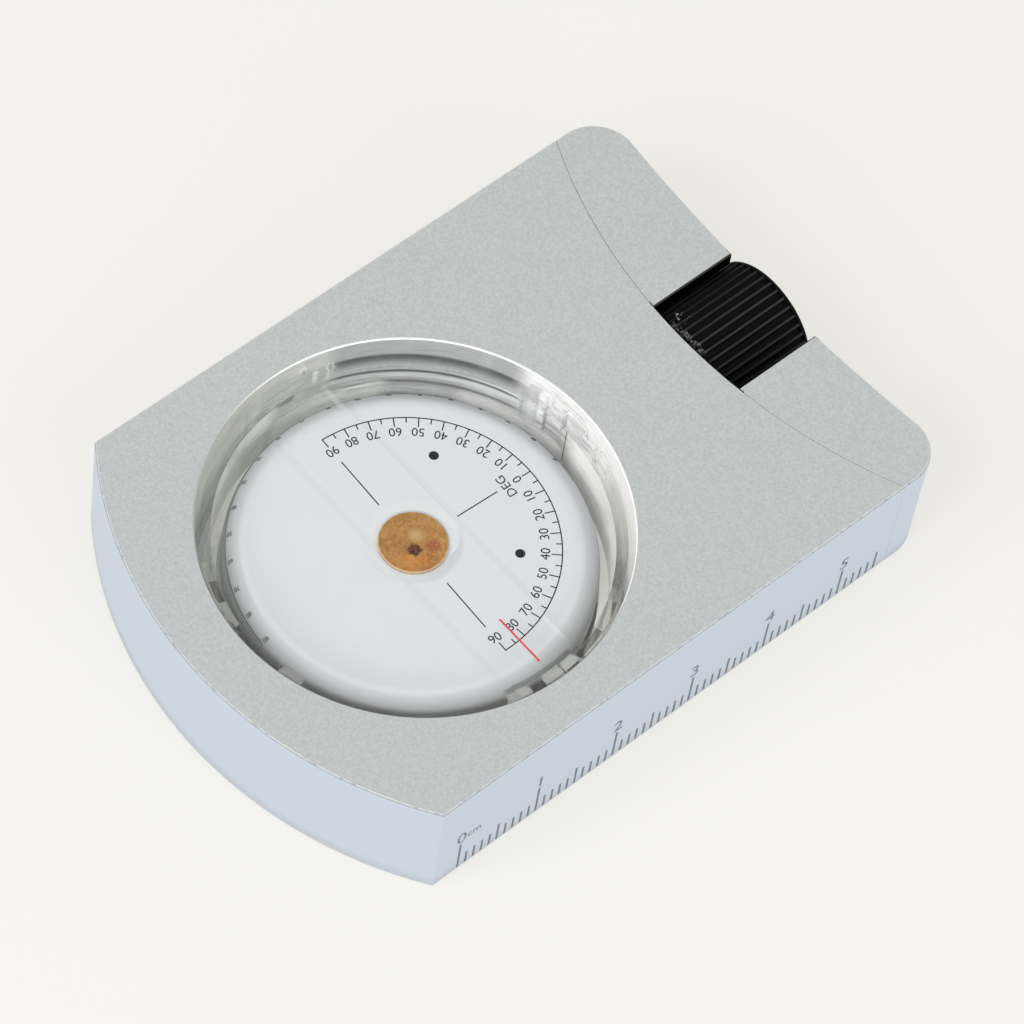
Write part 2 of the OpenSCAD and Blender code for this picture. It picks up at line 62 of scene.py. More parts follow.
# Backdrop: the rays that see it at full strength, and its colours
SEEN = ("Camera", "Glossy", "Transmission")
PALE = (0.922, 0.912, 0.88, 1.0)
FLOOR_SHOWN = (0.836, 0.823, 0.783, 1.0)
FLOOR_SHARE = 0.8  # how much of that colour such rays see instead of the lit floor
SKY_ON_OBJECT, SKY_SEEN = 0.75, 1.0

# Lamps: name, place, size, power in watts, colour
LAMPS = (
    ("nose_lamp", (-0.5, 0.0, 0.42), 0.5, 4.0, (1.0, 1.0, 1.0)),
    ("edge_lamp", (0.0, -0.55, 0.3), 0.5, 2.0, (0.93, 0.96, 1.0)),
)

# Marks, in millimetres; the first two have a size for each ten, each five and each one
RIM_MARKS = (0.65, 0.5, 0.36)  # lengths
RULER_MARKS = (4.85, 3.35, 2.4)  # upper ends above the base
RULER_FOOT = 0.35  # lower ends above the base
RULER_DIGITS_Z = 5.3  # lower edge of the ruler's digits
RULER_UNIT_H = 1.1
RULER_UNIT_AT = (1.6, 6.1)  # from the zero mark and above the base
STRIP_W = 0.25  # width of the strips that let the rim's print bend
STRIPS = range(2, 20)
SWEEP_STEPS = 90  # facets in a printed half ring
HUB_LINES = ((0, 5.48, 10.5), (90, 5.4, 11.5), (-90, 5.4, 11.5))  # degree, start, end


def span(node, axis):
    """Lowest and highest place of a CAD node along one axis, in metres."""
    low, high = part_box(node)
    return low[axis], high[axis]


PIVOT = (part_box("bush")[0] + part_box("bush")[1]) / 2
WINDOW = (PIVOT.x, 0.0)
POCKET_R = 21.9 * MM  # takes in the window's wall and its bevel
JOINT_X = 86.7 * MM  # centre of the curved joint between the housing and the rear blocks
JOINT_R = 61.6 * MM
JOINT_HALF = 0.35 * MM  # half the width that the joint's bevels and gap take up
SLOT_Y = -1.35 * MM  # middle of the eyepiece's slot
SLOT_HALF = 6.9 * MM
RIM_Z = 12.4 * MM  # top of the capsule's rim, with the bar above it
BOSS_R = 5.05 * MM  # boss under the middle of the cover
CARD_TOP = span("card", 2)[1]
CARD_R = (span("card", 0)[1] - span("card", 0)[0]) / 2
FLAT_R = max(
    math.hypot(v.co.x - PIVOT.x, v.co.y)
    for v in NODES["card"].data.vertices
    if v.co.z > CARD_TOP - 0.01 * MM
)
BUSH_R = (span("bush", 0)[1] - span("bush", 0)[0]) / 2
EDGE_Y = span("housing", 1)[0]  # the ruled edge
BODY_TOP = span("housing", 2)[1]
INDEX_X = sum(span("index_line", 0)) / 2
RING_Z = sum(span("focus_ring", 2)) / 2
RING_R = (span("focus_ring", 2)[1] - span("focus_ring", 2)[0]) / 2
RING_X, RING_END = span("focus_ring", 0)


# Shader maths


class Value:
    """An output socket that takes part in Python expressions and adds the Math nodes they need."""

    def __init__(self, tree, socket):
        self.tree = tree
        self.socket = socket

    def math(self, operation, *terms):
        """Adds one Math node and gives its output."""
        node = self.tree.nodes.new("ShaderNodeMath")
        node.operation = operation
        for place, term in enumerate(terms):
            if isinstance(term, Value):
                self.tree.links.new(term.socket, node.inputs[place])
            else:
                node.inputs[place].default_value = term
        return Value(self.tree, node.outputs[0])

    def __add__(self, other):
        return self.math("ADD", self, other)

    def __radd__(self, other):
        return self.math("ADD", other, self)

    def __sub__(self, other):
        return self.math("SUBTRACT", self, other)

    def __rsub__(self, other):
        return self.math("SUBTRACT", other, self)

    def __mul__(self, other):
        return self.math("MULTIPLY", self, other)

    def __truediv__(self, other):
        return self.math("DIVIDE", self, other)

    def __pow__(self, other):
        return self.math("POWER", self, other)

    def __abs__(self):
        return self.math("ABSOLUTE", self)

    def above(self, edge):
        """1 above an edge and 0 below it."""
        return self.math("GREATER_THAN", self, edge)

    def below(self, edge):
        """1 below an edge and 0 above it."""
        return self.math("LESS_THAN", self, edge)

    def top(self, other):
        """The larger of two values."""
        return self.math("MAXIMUM", self, other)


def highest(values):
    """The largest of several values."""
    total, *others = values
    for value in others:
        total = total.top(value)
    return total


class Finish:
    """One material: a Principled shader and the nodes that feed it."""

    def __init__(self, name):
        self.material = bpy.data.materials.new(name)
        self.material.use_nodes = True
        self.tree = self.material.node_tree
        self.tree.nodes.clear()
        self.shader = self.tree.nodes.new("ShaderNodeBsdfPrincipled")
        self.output = self.tree.nodes.new("ShaderNodeOutputMaterial")
        self.tree.links.new(self.shader.outputs[0], self.output.inputs["Surface"])
        place = self.tree.nodes.new("ShaderNodeTexCoord")
        self.place = Value(self.tree, place.outputs["Object"])
        self.facing = Value(self.tree, place.outputs["Normal"])

    def fill(self, node, sockets):
        """Sets a node's input sockets to values or links."""
        for name, value in sockets.items():
            socket = node.inputs[name]
            if isinstance(value, Value):
                self.tree.links.new(value.socket, socket)
            else:
                socket.default_value = value

    def node(self, kind, sockets, out=0, **settings):
        """Adds a node, with its settings first, then its sockets."""
        node = self.tree.nodes.new("ShaderNode" + kind)
        for name, value in settings.items():
            setattr(node, name, value)
        self.fill(node, sockets)
        return Value(self.tree, node.outputs[out])

    def noise(self, scale, detail=2.0, roughness=0.5, stretch=(1.0, 1.0, 1.0)):
        """Noise from 0 to 1 with features about 1/scale metres long."""
        spread = self.node("Mapping", {"Vector": self.place, "Scale": stretch})
        return self.node(
            "TexNoise",
            {"Vector": spread, "Scale": scale, "Detail": detail, "Roughness": roughness},
        )

    def step(self, value, low, high):
        """0 below low and 1 above high, smooth between."""
        return self.node(
            "MapRange",
            {"Value": value, "From Min": low, "From Max": high},
            interpolation_type="SMOOTHSTEP",
        )

    def blend(self, factor, first, second):
        """Colour between two colours."""
        return self.node(
            "Mix", {"Factor": factor, 6: first, 7: second}, out=2, data_type="RGBA"
        )

    def split(self, vector):
        """The three numbers of a vector."""
        node = self.tree.nodes.new("ShaderNodeSeparateXYZ")
        self.tree.links.new(vector.socket, node.inputs[0])
        return [Value(self.tree, out) for out in node.outputs]

    def reach(self, centre):
        """Distance from an upright line through centre."""
        x, y, _ = self.split(self.place)
        return ((x - centre[0]) ** 2 + (y - centre[1]) ** 2) ** 0.5

    def bump(self, height, strength, distance):
        """Normal raised by height."""
        return self.node(
            "Bump", {"Height": height, "Strength": strength, "Distance": distance}
        )

    def between(self, value, low, high, soft):
        """1 between low and high and 0 outside, soft at both ends."""
        rise = self.step(value, low - soft, low + soft)
        return rise * (1 - self.step(value, high - soft, high + soft))

    def bearing(self, centre):
        """Direction in degrees from an upright line through centre, 0 towards +X."""
        x, y, _ = self.split(self.place)
        east, north = x - centre[0], y - centre[1]
        return north.math("ARCTAN2", north, east) * (180.0 / math.pi)

    def spot(self, centre, inner, outer, wobble):
        """1 within inner of an upright line through centre and 0 beyond outer, with a wobble."""
        return 1 - self.step(self.reach(centre) + wobble, inner, outer)

    def line(self, value, centre, half):
        """1 on a soft line at centre and 0 beyond half of it."""
        return 1 - self.step(abs(value - centre), half * 0.3, half)

    def along(self, centre, degrees):
        """1 in a direction from an upright line through centre, -1 in the opposite direction."""
        x, y, _ = self.split(self.place)
        turn = math.radians(degrees)
        part = (x - centre[0]) * math.cos(turn) + (y - centre[1]) * math.sin(turn)
        return part / self.reach(centre)

    def sector(self, centre, degrees, inner, outer):
        """1 within inner degrees of a direction and 0 beyond outer degrees."""
        far, near = (math.cos(math.radians(angle)) for angle in (outer, inner))
        return self.step(self.along(centre, degrees), far, near)

    def cover_with(self, kind, factor, colour):
        """Mixes another shader over the Principled one where factor is 1."""
        other = self.tree.nodes.new("ShaderNode" + kind)
        self.fill(other, {"Color": colour})
        mix = self.tree.nodes.new("ShaderNodeMixShader")
        self.fill(mix, {0: factor})
        self.tree.links.new(self.shader.outputs[0], mix.inputs[1])
        self.tree.links.new(other.outputs[0], mix.inputs[2])
        self.tree.links.new(mix.outputs[0], self.output.inputs["Surface"])

    def done(self, **sockets):
        """Sets the shader's sockets, with spaces written as underscores."""
        self.fill(self.shader, {name.replace("_", " "): v for name, v in sockets.items()})
        return self.material


def rays(tree, *kinds):
    """1 for rays of the given kinds and 0 for others."""
    path = tree.nodes.new("ShaderNodeLightPath")
    return highest([Value(tree, path.outputs[f"Is {kind} Ray"]) for kind in kinds])


def grey(level):
    """A colour with no hue."""
    return (level, level, level, 1.0)


def wear(node, material):
    """Gives a CAD node one material."""
    mesh = NODES[node].data
    mesh.materials.clear()
    mesh.materials.append(material)


# Meshes


def piece(name, bm, material, body):
    """Turns a bmesh into a piece that rides on a body, without empty faces."""
    bmesh.ops.dissolve_degenerate(bm, dist=WELD, edges=bm.edges)
    bmesh.ops.recalc_face_normals(bm, faces=bm.faces)
    mesh = bpy.data.meshes.new(name)
    bm.to_mesh(mesh)
    bm.free()
    obj = bpy.data.objects.new(name, mesh)
    bpy.context.scene.collection.objects.link(obj)
    mesh.materials.append(material)
    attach(obj, body)


def add_block(bm, low, high, turn=None):
    """Adds a block between two corners, in metres, then turns it by a matrix."""
    low, high = Vector(low), Vector(high)
    fit = Matrix.Translation((low + high) / 2) @ Matrix.Diagonal((*(high - low), 1.0))
    bmesh.ops.create_cube(bm, size=1.0, matrix=(turn or Matrix.Identity(4)) @ fit)


def add_text(bm, words, height, thickness):
    """Adds flat text with digits of a height, centred on the origin; gives its vertices."""
    curve = bpy.data.curves.new("lettering", "FONT")
    curve.body = words
    curve.size = height / DIGIT_SHARE
    curve.align_x = "CENTER"
    curve.extrude = thickness / 2
    curve.resolution_u = 4
    holder = bpy.data.objects.new("lettering", curve)
    bpy.context.scene.collection.objects.link(holder)
    bpy.context.view_layer.update()
    shape = holder.evaluated_get(bpy.context.evaluated_depsgraph_get())
    mesh = bpy.data.meshes.new_from_object(shape)
    before = set(bm.verts)
    bm.from_mesh(mesh)
    fresh = [v for v in bm.verts if v not in before]
    bmesh.ops.remove_doubles(bm, verts=fresh, dist=WELD)
    new = [v for v in bm.verts if v not in before]
    for v in new:
        v.co.y -= height / 2
    bpy.data.objects.remove(holder)
    bpy.data.curves.remove(curve)
    bpy.data.meshes.remove(mesh)
    return new


def mark_size(mark, ten, five, one):
    """Size of a scale's mark in metres, larger at each ten and each five."""
    return (ten if mark % 10 == 0 else five if mark % 5 == 0 else one) * MM


def sweep_half(bm, corners):
    """Sweeps a profile half a turn round the pivot, closed at both ends."""
    centre = Matrix.Translation((PIVOT.x, PIVOT.y, 0))
    rows = []
    for step in range(SWEEP_STEPS + 1):
        turn = Matrix.Rotation(math.pi * step / SWEEP_STEPS, 4, "Z")
        place = centre @ turn @ centre.inverted()
        rows.append([bm.verts.new(place @ c) for c in corners])
    for row, following in zip(rows, rows[1:]):
        for a in range(len(corners)):
            bm.faces.new((row[a - 1], row[a], following[a], following[a - 1]))
    bm.faces.new(rows[0])
    bm.faces.new(rows[-1])


def on_card(angle, radius, height):
    """Matrix that puts flat things on the card, their tops towards the pivot."""
    turn = Matrix.Rotation(angle, 4, "Z")
    lift = Matrix.Translation((radius, 0.0, height))
    face_in = Matrix.Rotation(math.radians(90), 4, "Z")
    return Matrix.Translation((PIVOT.x, PIVOT.y, 0.0)) @ turn @ lift @ face_in


# Sizes and view that a user would change


class ScaleSizes(bpy.types.PropertyGroup):
    """Sizes of the printed scales, in millimetres and degrees"""

    zero_turn: bpy.props.FloatProperty(
        name="Zero", description="Angle of the card's zero line, degrees", default=-2.6
    )
    ring_r: bpy.props.FloatProperty(
        name="Ring", description="Radius of the degree ring, mm", default=14.7
    )
    line_w: bpy.props.FloatProperty(
        name="Line", description="Width of the printed lines, mm", default=0.12
    )
    long_tick: bpy.props.FloatProperty(
        name="Long tick", description="Length of the 10 degree ticks, mm", default=1.12
    )
    short_tick: bpy.props.FloatProperty(
        name="Short tick", description="Length of the 5 degree ticks, mm", default=0.66
    )
    digit_h: bpy.props.FloatProperty(
        name="Digits", description="Height of the degree digits, mm", default=1.0
    )
    digit_at: bpy.props.FloatProperty(
        name="Digits at", description="Distance from pivot to digits, mm", default=12.93
    )
    unit_at: bpy.props.FloatProperty(
        name="Unit at", description="Distance from pivot to the unit, mm", default=11.57
    )
    print_t: bpy.props.FloatProperty(
        name="Ink", description="Thickness of the ink, mm", default=0.02
    )
    rim_digit_h: bpy.props.FloatProperty(
        name="Rim digits", description="Height of the digits on the card's rim, mm", default=0.52
    )
    rim_digit_at: bpy.props.FloatProperty(
        name="Rim digits at", description="Tilt of the rim at its digits, degrees", default=46.0
    )
    rim_ring_at: bpy.props.FloatProperty(
        name="Rim ring at", description="Tilt of the rim at its ring, degrees", default=59.0
    )
    rim_line_w: bpy.props.FloatProperty(
        name="Rim line", description="Width of the lines on the card's rim, mm", default=0.05
    )
    ruler_zero: bpy.props.FloatProperty(
        name="Ruler zero", description="X of the ruler's zero mark, mm", default=-25.69
    )
    ruler_length: bpy.props.IntProperty(
        name="Ruler length", description="Last mark of the ruler, mm", default=55
    )
    ruler_line_w: bpy.props.FloatProperty(
        name="Ruler line", description="Width of the ruler's marks, mm", default=0.27
    )
    ruler_digit_h: bpy.props.FloatProperty(
        name="Ruler digits", description="Height of the ruler's digits, mm", default=1.9
    )


class StageView(bpy.types.PropertyGroup):
    """Place, direction and lens of the camera"""

    place: bpy.props.FloatVectorProperty(
        name="Camera",
        description="Place of the camera",
        default=(-0.21415, -0.18696, 0.45703),
        subtype="TRANSLATION",
        unit="LENGTH",
    )
    azimuth: bpy.props.FloatProperty(
        name="Azimuth", description="Camera's heading, degrees", default=-49.370
    )
    elevation: bpy.props.FloatProperty(
        name="Elevation", description="Camera's elevation, degrees", default=57.717
    )
    roll: bpy.props.FloatProperty(
        name="Roll", description="Camera's roll, degrees", default=10.014
    )
    lens: bpy.props.FloatProperty(
        name="Lens", description="Focal length, mm on a 36 mm wide sensor", default=189.72
    )


# Materials


def blasted_aluminium():
    """Clear anodised metal: blasted faces and a turned pocket; the bluish sides, darker bevels and
    black slot walls are painted light and shade, with a painted highlight along the top edges.
    """
    f = Finish("satin_aluminium")
    up = abs(f.split(f.facing)[2])
    x, y, z = f.split(f.place)
    top = f.step(up, 0.93, 0.97)
    bevel = f.step(up, 0.3, 0.45) * (1 - top)
    grain = f.noise(9000.0, detail=3.0, roughness=0.65)
    speckle = f.step(f.noise(3600.0, detail=2.0, roughness=0.7), 0.3, 0.7)
    cloud = f.noise(90.0, detail=1.0)
    face = f.blend(speckle, (0.513, 0.537, 0.552, 1.0), (0.596, 0.623, 0.638, 1.0))
    # Painted light: the sides are bluer and lighter than the top, a lit copy of the same metal,
    # and darker towards the bottom.
    side = f.blend(grain, (0.592, 0.653, 0.75, 1.0), (0.655, 0.717, 0.814, 1.0))
    foot = 1 - f.step(z, 0.5 * MM, 1.9 * MM)
    side = f.blend(foot * 0.4, side, (0.47, 0.50, 0.53, 1.0))
    colour = f.blend(top, side, face)
    # Painted shade and highlight: the bevels are darker than the faces, and a thin strip at the
    # top of the upper bevels is a painted highlight, broken by noise.
    bevel_noise = f.step(f.noise(1500.0, detail=2.0), 0.3, 0.55)
    edge_highlight = bevel * f.step(z, BODY_TOP - 0.07 * MM, BODY_TOP - 0.03 * MM)
    edge = f.blend(bevel_noise, (0.36, 0.385, 0.42, 1.0), (0.45, 0.48, 0.52, 1.0))
    colour = f.blend(bevel, colour, edge)
    colour = f.blend(edge_highlight, colour, f.blend(bevel_noise, grey(0.5), grey(0.85)))
    joint = abs(f.reach((JOINT_X, 0.0)) - JOINT_R).below(JOINT_HALF)
    joint = joint * (1 - top) * abs(y).below(26.0 * MM)
    plain_end = f.step(y, 12.0 * MM, 26.0 * MM)
    seam = f.blend(plain_end, (0.345, 0.355, 0.35, 1.0), (0.385, 0.39, 0.365, 1.0))
    colour = f.blend(joint, colour, seam)
    # Painted shade: the slot's walls beside the black ring are near black.
    slot = x.above(JOINT_X - JOINT_R + 0.2 * MM) * abs(y - SLOT_Y).below(SLOT_HALF) * (1 - top)
    colour = f.blend(slot, colour, f.blend(bevel, grey(0.004), grey(0.06)))
    # The pocket's wall, seen through the capsule, has painted light and shade by direction.
    pocket = f.reach(WINDOW).below(POCKET_R) * (1 - top)
    colour = f.blend(pocket, colour, turned_wall(f, z))
    rough = 0.42 + grain * 0.12 - bevel * 0.2 - pocket * 0.12 + cloud * 0.03
    metal = (0.85 - pocket * 0.75) * (1 - joint) * (1 - slot) + slot
    normal = f.bump(grain, 0.25, 0.05 * MM)
    return f.done(Base_Color=colour, Metallic=metal, Roughness=rough, Normal=normal)


def turned_wall(f, z):
    """Colour of the pocket's turned wall, with light and shade painted in by direction round the
    window: light on most sides, banded between them, lighter lower down, dark on the near rim.
    """
    rim = f.step(z, BODY_TOP - 0.24 * MM, BODY_TOP - 0.18 * MM)
    lip = z.above(BODY_TOP - 0.07 * MM)
    # Sectors of painted light and shade round the window: a dark near rim, a paler lip round 150
    # degrees, painted bands on the far side, painted light on the bright side and low down towards
    # the open end.
    near = f.sector(WINDOW, 222.5, 58.0, 80.0)
    paler = f.sector(WINDOW, 150.0, 30.0, 70.0)
    far = f.sector(WINDOW, 46.0, 22.0, 30.0)
    bright = f.sector(WINDOW, -12.0, 28.0, 42.0)
    open_end = f.sector(WINDOW, 15.0, 12.0, 22.0)
    streak = f.noise(300.0, detail=3.0, roughness=0.6, stretch=(1.0, 1.0, 14.0))
    pale_streak = f.noise(450.0, detail=2.0, stretch=(1.0, 1.0, 0.12))
    # Painted light: lighter lower down, to make up for the shade deep in the pocket.
    depth = 1 - f.step(z, 5.0 * MM, 12.0 * MM)
    calm = f.blend(depth, (0.64, 0.65, 0.60, 1.0), (0.95, 0.96, 0.90, 1.0))
    calm = f.blend(f.step(streak, 0.42, 0.7) * 0.45, calm, grey(0.36))
    light = f.blend(depth, grey(0.93), grey(0.99))
    light = f.blend(f.step(streak, 0.5, 0.72) * 0.45, light, grey(0.38))
    band = f.blend(depth, (0.44, 0.445, 0.45, 1.0), (0.68, 0.68, 0.67, 1.0))
    # Painted shade: a dark band at the height of the capsule's seal and rim.
    seal = f.step(z, 9.3 * MM, 10.9 * MM) * (1 - f.step(z, 11.0 * MM, 11.5 * MM))
    band = f.blend(seal * 0.8, band, grey(0.03))
    # Painted light: the foot of the wall towards the open end.
    low_end = open_end * z.below(8.8 * MM)
    band = f.blend(low_end * 0.8, band, grey(0.97))
    # Painted reflections: dark and bright lines across the far wall.
    for height, half, share, tone in (
        (8.25, 0.28, 0.95, 0.1),
        (6.4, 0.4, 0.65, 0.1),
        (3.95, 0.35, 0.3, 0.1),
        (7.5, 0.5, 0.75, 0.98),
        (5.0, 0.9, 0.85, 0.98),
    ):
        band = f.blend(f.line(z, height * MM, half * MM) * share, band, grey(tone))
    band = f.blend(f.step(streak, 0.42, 0.7) * 0.3, band, grey(0.22))
    wall = f.blend(bright, calm, light)
    wall = f.blend(far, wall, band)
    # Painted light: pale upright streaks.
    wall = f.blend(f.step(pale_streak, 0.55, 0.85) * 0.25, wall, grey(0.97))
    wall = facets(f, wall, z)
    # The rim's lip: paler round 150 degrees, and painted shade on the near side.
    edge = f.blend(paler, f.blend(lip, grey(0.9), grey(0.5)), f.blend(lip, grey(0.5), grey(0.42)))
    return f.blend(rim, wall, f.blend(near, edge, grey(0.12)))


def facets(f, colour, z):
    """Adds painted highlights and shade: the bright and dark facets that the capsule's pads show
    on the wall behind them.

    Each has its directions in degrees, its foot and head in millimetres, its share and its grey.
    """
    wobble = f.noise(1100.0, detail=2.0) - 0.5
    turn = f.bearing(WINDOW) + wobble * 2.2
    rise = z + wobble * 0.5 * MM
    for low, high, foot, head, share, tone in (
        (74.0, 79.5, 6.9, 10.8, 0.45, 0.38),
        (72.6, 73.3, 8.6, 11.6, 0.7, 0.98),
        (71.1, 71.7, 9.4, 11.4, 0.6, 0.98),
        (76.0, 77.3, 8.8, 10.9, 0.9, 0.98),
        (73.6, 76.4, 5.4, 6.5, 0.8, 0.98),
        (79.4, 81.6, 11.7, 12.5, 0.8, 0.98),
        (80.1, 80.6, 11.2, 12.0, 0.7, 0.05),
        (82.5, 88.5, 7.2, 8.2, 0.6, 0.1),
        (84.0, 92.0, 9.9, 10.15, 0.6, 0.1),
        (95.0, 97.0, 6.5, 9.5, 0.5, 0.98),
        (16.8, 19.2, 5.3, 11.0, 0.55, 0.4),
        (13.6, 17.2, 9.0, 12.2, 0.7, 0.55),
        (2.0, 16.0, 7.3, 7.7, 0.5, 0.3),
        (-8.0, 12.0, 6.2, 6.6, 0.5, 0.3),
        (-12.0, 4.0, 8.6, 9.0, 0.35, 0.35),
        (-2.0, 9.0, 12.4, 12.8, 0.5, 0.4),
        (14.9, 18.2, 5.6, 8.6, 0.6, 0.98),
        (11.9, 12.8, 8.3, 10.4, 0.9, 0.98),
        (8.5, 12.0, 9.9, 10.3, 0.6, 0.2),
        (3.0, 11.0, 7.0, 9.7, 0.5, 0.5),
        (-4.0, 6.0, 10.6, 11.6, 0.4, 0.45),
    ):
        patch = f.between(turn, low, high, 0.35) * f.between(rise, foot * MM, head * MM, 0.2 * MM)
        colour = f.blend(patch * share * 0.85, colour, grey(tone))
    return colour


def clear_cover():
    """Thin clear plastic that shows what is under it where it is, with its gloss on top.

    What a filled capsule mirrors or bends is painted by direction round the window.
    """
    f = Finish("clear_cover")
    haze = f.noise(400.0, detail=2.0)
    slant = f.node("LayerWeight", {"Blend": 0.5}, out=1)
    z = f.split(f.place)[2]
    level = abs(f.split(f.facing)[2]).above(0.5)
    away = f.reach(WINDOW)
    lit, shade = bar_edges(f, z, level, away)
    # Painted light and shade on the boss: a dark crescent and a pale halo round the bush.
    boss = away.below(BOSS_R) * z.below(RIM_Z - 1.1 * MM)
    crescent = f.line(away, 4.35 * MM, 0.75 * MM) * f.sector(WINDOW, -72.0, 5.0, 75.0)
    shade = shade + crescent * boss * level * 0.15
    halo = boss * level * f.sector(WINDOW, 45.0, 80.0, 130.0) * away.above(BUSH_R)
    halo = halo * (1 - f.step(away, BUSH_R, 5.1 * MM)) * 0.38
    shine = 0.012 + slant**5 * (0.25 + level * 0.7) + lit + halo

    turn = f.bearing(WINDOW)
    streak = f.noise(260.0, detail=3.0, roughness=0.6, stretch=(1.0, 1.0, 8.0))
    wall = away.above(18.9 * MM) * away.below(20.3 * MM) * z.below(RIM_Z - 1.0 * MM)
    # Painted light: the inner wall is painted bright on one side and at its foot.
    foot = (1 - f.step(z, 7.4 * MM, 9.0 * MM)) * f.between(turn, 1.0, 36.0, 3.0)
    bright = wall * (f.between(turn, -66.0, -2.0, 5.0) * 0.97).top(foot * 0.85)
    # Painted light: a paler wash on the left and low down on the far side.
    low = 1 - f.step(z + (streak - 0.5) * 3.0 * MM, 7.6 * MM, 10.0 * MM)
    low = low * f.between(turn, 58.0, 97.0, 5.0)
    calm = wall * (f.between(turn, 94.0, 156.0, 5.0) * 0.75).top(low * 0.8)
    # Painted light: the outer wall is painted bright where it hides the bore.
    outer = (1 - level) * away.above(20.5 * MM) * z.below(RIM_Z - 0.1 * MM)
    back = outer * f.between(turn, -16.0, 13.6, 1.0)
    # Painted reflection: a grey-brown band where the capsule shows the metal wall and its shade.
    painted_brown = outer * f.between(turn, -70.0, -18.0, 3.0) * 0.85
    # Painted light and shade on the near side of the rim.
    glint, near_shade = near_rim(f, z, away, turn, streak)

    dark = (shade.top(near_shade) - halo).above(0.002)
    opaque = highest((shine, shade, near_shade, bright, glint, calm, back * 0.96, painted_brown))
    f.cover_with("BsdfTransparent", 1 - opaque, (0.985, 0.99, 0.99, 1.0))
    colour = f.blend(dark, (0.97, 0.98, 0.975, 1.0), grey(0.05))
    # Colours of the painted light, streaked.
    streaked_light = f.blend(f.step(streak, 0.52, 0.76) * 0.45, (0.99, 0.99, 0.97, 1.0), grey(0.45))
    colour = f.blend(bright.above(TRACE), colour, streaked_light)
    mottled = f.blend(streak, grey(0.30), (0.43, 0.45, 0.42, 1.0))
    colour = f.blend(glint.above(TRACE), colour, mottled)
    calm_light = f.blend(f.step(streak, 0.48, 0.72) * 0.45, (0.95, 0.96, 0.90, 1.0), grey(0.45))
    colour = f.blend(calm.above(TRACE), colour, calm_light)
    broken = f.blend(f.step(streak, 0.45, 0.7), grey(0.95), grey(0.5))
    colour = f.blend(back, colour, facets(f, broken, z))
    colour = f.blend(painted_brown.above(TRACE), colour, (0.68, 0.67, 0.63, 1.0))
    painted = highest((bright, glint, painted_brown, calm)).above(TRACE)
    return f.done(
        Base_Color=colour,
        Metallic=1 - highest((dark, painted, back)),
        Roughness=0.04 + haze * 0.04,
        Normal=f.bump(haze, 0.05, 0.05 * MM),
    )


def bar_edges(f, z, level, away):
    """Light and shade along the edges of the bar across the cover."""
    x = f.split(f.place)[0]
    across = abs(x - PIVOT.x)
    bar = away.below(19.0 * MM)
    lit = f.line(across, 3.6 * MM, 0.45 * MM) * x.above(PIVOT.x) * z.above(RIM_Z + 0.1 * MM)
    lit = lit * level * f.between(away, 15.4 * MM, 18.2 * MM, 0.5 * MM) * 0.2
    shade = f.line(across, 4.3 * MM, 0.45 * MM) * 0.04
    shade = shade * z.above(RIM_Z - 0.1 * MM) * z.below(RIM_Z + 0.1 * MM) * bar
    return lit, shade + (1 - level) * z.above(RIM_Z + 0.01 * MM) * bar * 0.05


def near_rim(f, z, away, turn, streak):
    """Painted light and shade: pale blocks on the near side of the capsule's rim, and dark shade
    between them.

    Each block has its directions in degrees, its inner edge in millimetres and its share.
    """
    near = z.above(RIM_Z - 0.05 * MM) * turn.below(-70.0).top(turn.above(158.0))
    wave = turn + (streak - 0.5) * 5.0
    blocks = []
    for low, high, inner, share in (
        (-85.5, -80.8, 19.9, 0.75),
        (-93.0, -86.7, 19.85, 0.7),
        (-104.0, -98.0, 19.95, 0.7),
        (165.0, 172.5, 20.2, 0.5),
        (-169.0, -162.5, 19.9, 0.4),
    ):
        edge = f.step(away, (inner - 0.1) * MM, (inner + 0.1) * MM)
        blocks.append(f.between(wave, low, high, 0.5) * edge * share)
    ring = f.between(away, 19.3 * MM, 19.85 * MM, 0.1 * MM) * f.between(turn, -104.0, -81.0, 1.0)
    near_shade = (f.step(away, 19.7 * MM, 20.5 * MM) * 0.68).top(ring * 0.45)
    return highest(blocks) * near, near_shade * near


def lens_glass():
    """Coated lens glass."""
    f = Finish("lens_glass")
    dust = f.noise(3000.0, detail=2.0)
    return f.done(
        Base_Color=(0.95, 0.98, 1.0, 1.0),
        Roughness=0.01 + dust * 0.02,
        IOR=1.52,
        Transmission_Weight=1.0,
    )


def card_plastic():
    """White moulded card, which lets part of the light through, with painted shade on its rounded
    rim, a painted highlight on the near shoulder and painted shade on the far one.
    """
    f = Finish("card_plastic")
    cloud = f.noise(150.0, detail=2.0)
    lean = f.split(f.facing)[2]
    # Painted shade: the rim darkens as it turns down.
    skirt = 1 - f.step(lean, 0.0, 0.7)
    colour = f.blend(cloud, (0.513, 0.527, 0.551, 1.0), (0.551, 0.565, 0.585, 1.0))
    # Painted highlight on the near shoulder, and painted shade on the far one.
    near_highlight = f.line(lean, 0.96, 0.045) * f.sector(WINDOW, 222.5, 70.0, 105.0)
    colour = f.blend(near_highlight * 0.24, colour, grey(0.78))
    far = (1 - f.step(lean, 0.88, 0.998)) * f.sector(WINDOW, 42.5, 70.0, 105.0)
    colour = f.blend(skirt * 0.4, colour, grey(0.12))
    colour = f.blend(far * 0.14, colour, grey(0.1))
    normal = f.bump(f.noise(5000.0), 0.08, 0.02 * MM)
    f.cover_with("BsdfTransparent", rays(f.tree, "Shadow", "Diffuse") * 0.75, WHITE)
    return f.done(Base_Color=colour, Roughness=0.42, Normal=normal)


